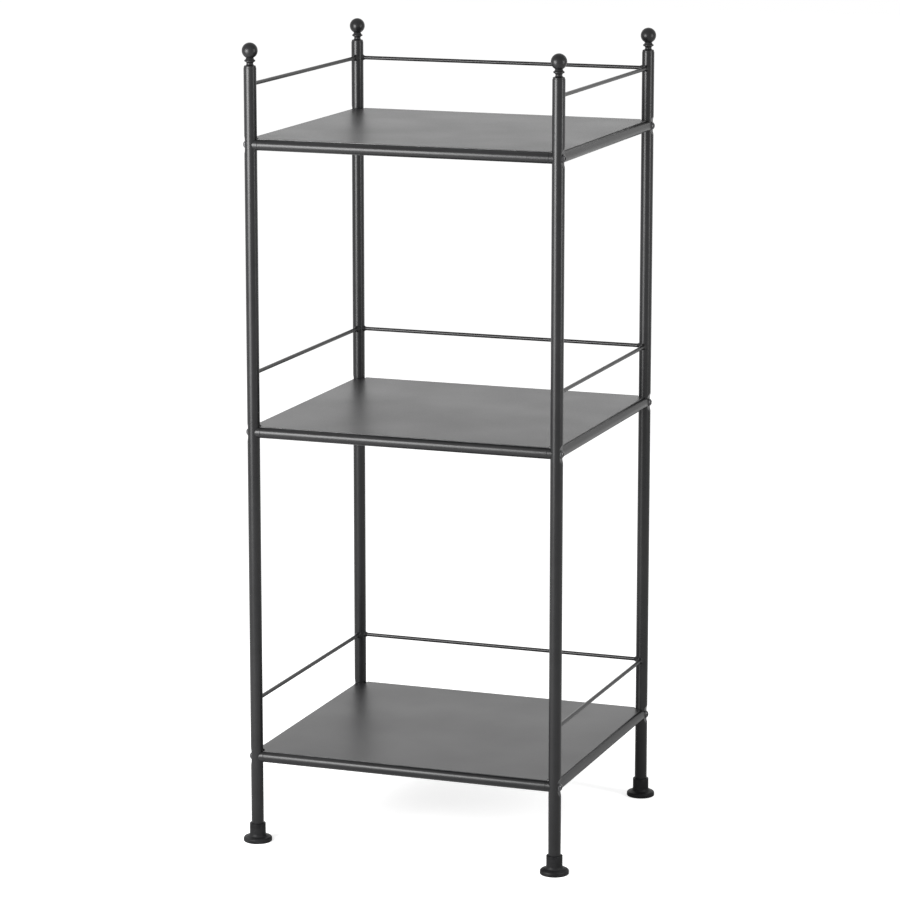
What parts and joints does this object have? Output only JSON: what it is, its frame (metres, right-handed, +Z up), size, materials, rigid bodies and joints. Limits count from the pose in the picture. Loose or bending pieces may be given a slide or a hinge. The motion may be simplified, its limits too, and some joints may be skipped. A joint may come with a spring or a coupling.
{
  "type": "standing shelf",
  "caption": "Free-standing open metal shelf: round posts with ball finials and round feet carry flat shelf plates on tube frames, with a low gallery rail at the sides and back.",
  "frame": {"origin": "middle of the footprint on the floor", "axes": "+Z up, the open front faces -Y, +X to the right seen from the front"},
  "size_m": [0.4408, 0.4008, 1.03],
  "materials": {
    "black_steel": "satin",
    "black_plastic": "semi-matte",
    "black_bolts": "gloss",
    "zinc_steel": "zinc plated"
  },
  "bodies": {
    "frame": {"front_left_post": "black_steel", "front_left_finial": "black_plastic", "front_left_foot_insert": "zinc_steel", "front_right_post": "black_steel", "front_right_finial": "black_plastic", "front_right_foot_insert": "zinc_steel", "back_left_post": "black_steel", "back_left_finial": "black_plastic", "back_left_foot_insert": "zinc_steel", "back_right_post": "black_steel", "back_right_finial": "black_plastic", "back_right_foot_insert": "zinc_steel", "bottom_front_tube": "black_steel", "bottom_back_tube": "black_steel", "bottom_front_saddles": "black_steel", "bottom_back_saddles": "black_steel", "bottom_left_side_tube": "black_steel", "bottom_right_side_tube": "black_steel", "bottom_left_rail": "black_steel", "bottom_right_rail": "black_steel", "bottom_back_rail": "black_steel", "bottom_shelf_plate": "black_steel", "bottom_bolts": "black_bolts", "middle_front_tube": "black_steel", "middle_back_tube": "black_steel", "middle_front_saddles": "black_steel", "middle_back_saddles": "black_steel", "middle_left_side_tube": "black_steel", "middle_right_side_tube": "black_steel", "middle_left_rail": "black_steel", "middle_right_rail": "black_steel", "middle_back_rail": "black_steel", "middle_shelf_plate": "black_steel", "middle_bolts": "black_bolts", "top_front_tube": "black_steel", "top_back_tube": "black_steel", "top_front_saddles": "black_steel", "top_back_saddles": "black_steel", "top_left_side_tube": "black_steel", "top_right_side_tube": "black_steel", "top_left_rail": "black_steel", "top_right_rail": "black_steel", "top_back_rail": "black_steel", "top_shelf_plate": "black_steel", "top_bolts": "black_bolts"},
    "front_left_leveller": {"front_left_foot": "black_plastic", "front_left_foot_stud": "zinc_steel"},
    "front_right_leveller": {"front_right_foot": "black_plastic", "front_right_foot_stud": "zinc_steel"},
    "back_left_leveller": {"back_left_foot": "black_plastic", "back_left_foot_stud": "zinc_steel"},
    "back_right_leveller": {"back_right_foot": "black_plastic", "back_right_foot_stud": "zinc_steel"}
  },
  "joints": [
    {"name": "front_left_levelling", "type": "slide", "parent": "frame", "child": "front_left_leveller", "axis": [0, 0, -1], "range_m": [0, 0.008]},
    {"name": "front_right_levelling", "type": "slide", "parent": "frame", "child": "front_right_leveller", "axis": [0, 0, -1], "range_m": [0, 0.008]},
    {"name": "back_left_levelling", "type": "slide", "parent": "frame", "child": "back_left_leveller", "axis": [0, 0, -1], "range_m": [0, 0.008]},
    {"name": "back_right_levelling", "type": "slide", "parent": "frame", "child": "back_right_leveller", "axis": [0, 0, -1], "range_m": [0, 0.008]}
  ]
}
